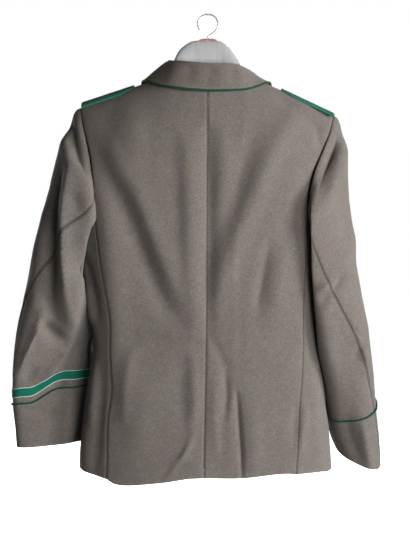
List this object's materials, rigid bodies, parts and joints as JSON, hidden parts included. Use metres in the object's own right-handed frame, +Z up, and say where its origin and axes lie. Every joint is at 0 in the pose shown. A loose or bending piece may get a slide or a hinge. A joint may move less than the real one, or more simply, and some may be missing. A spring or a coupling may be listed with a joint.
{
  "type": "military uniform jacket on a clothes hanger",
  "caption": "Long-sleeved wool service tunic with a turned-down collar, shoulder boards and piped cuffs, hanging on a plastic hanger.",
  "frame": {"origin": "inner top of the hanger's hook, where it rests on a rail", "axes": "+Z up along the hanging jacket, -Y out of its back, -X towards the wearer's left"},
  "size_m": [0.6842, 0.1872, 0.8631],
  "materials": {
    "wool_cloth": "matt stone-grey wool",
    "green_piping": "matt felt",
    "green_band": "woven ribbon with two pale edges",
    "green_board": "matt felt over a stiff core",
    "button_metal": "satin",
    "pale_plastic": "semi-matt",
    "red_plastic": "semi-matt",
    "hook_steel": "bright wire"
  },
  "bodies": {
    "root": {"back_left": "wool_cloth", "back_right": "wool_cloth", "side_left": "wool_cloth", "side_right": "wool_cloth", "front_left": "wool_cloth", "front_right": "wool_cloth", "lapel_left": "wool_cloth", "lapel_right": "wool_cloth", "sleeve_upper_left": "wool_cloth", "sleeve_upper_right": "wool_cloth", "sleeve_under_left": "wool_cloth", "sleeve_under_right": "wool_cloth", "collar_stand": "wool_cloth", "collar_fall": "wool_cloth", "collar_piping": "green_piping", "cuff_piping_left": "green_piping", "cuff_piping_right": "green_piping", "cuff_band_left": "green_band", "shoulder_board_left": "green_board", "shoulder_board_right": "green_board", "button_1": "button_metal", "button_2": "button_metal", "button_3": "button_metal", "button_4": "button_metal", "hanger": "pale_plastic", "hanger_cap": "red_plastic", "hanger_hook": "hook_steel"}
  },
  "joints": []
}
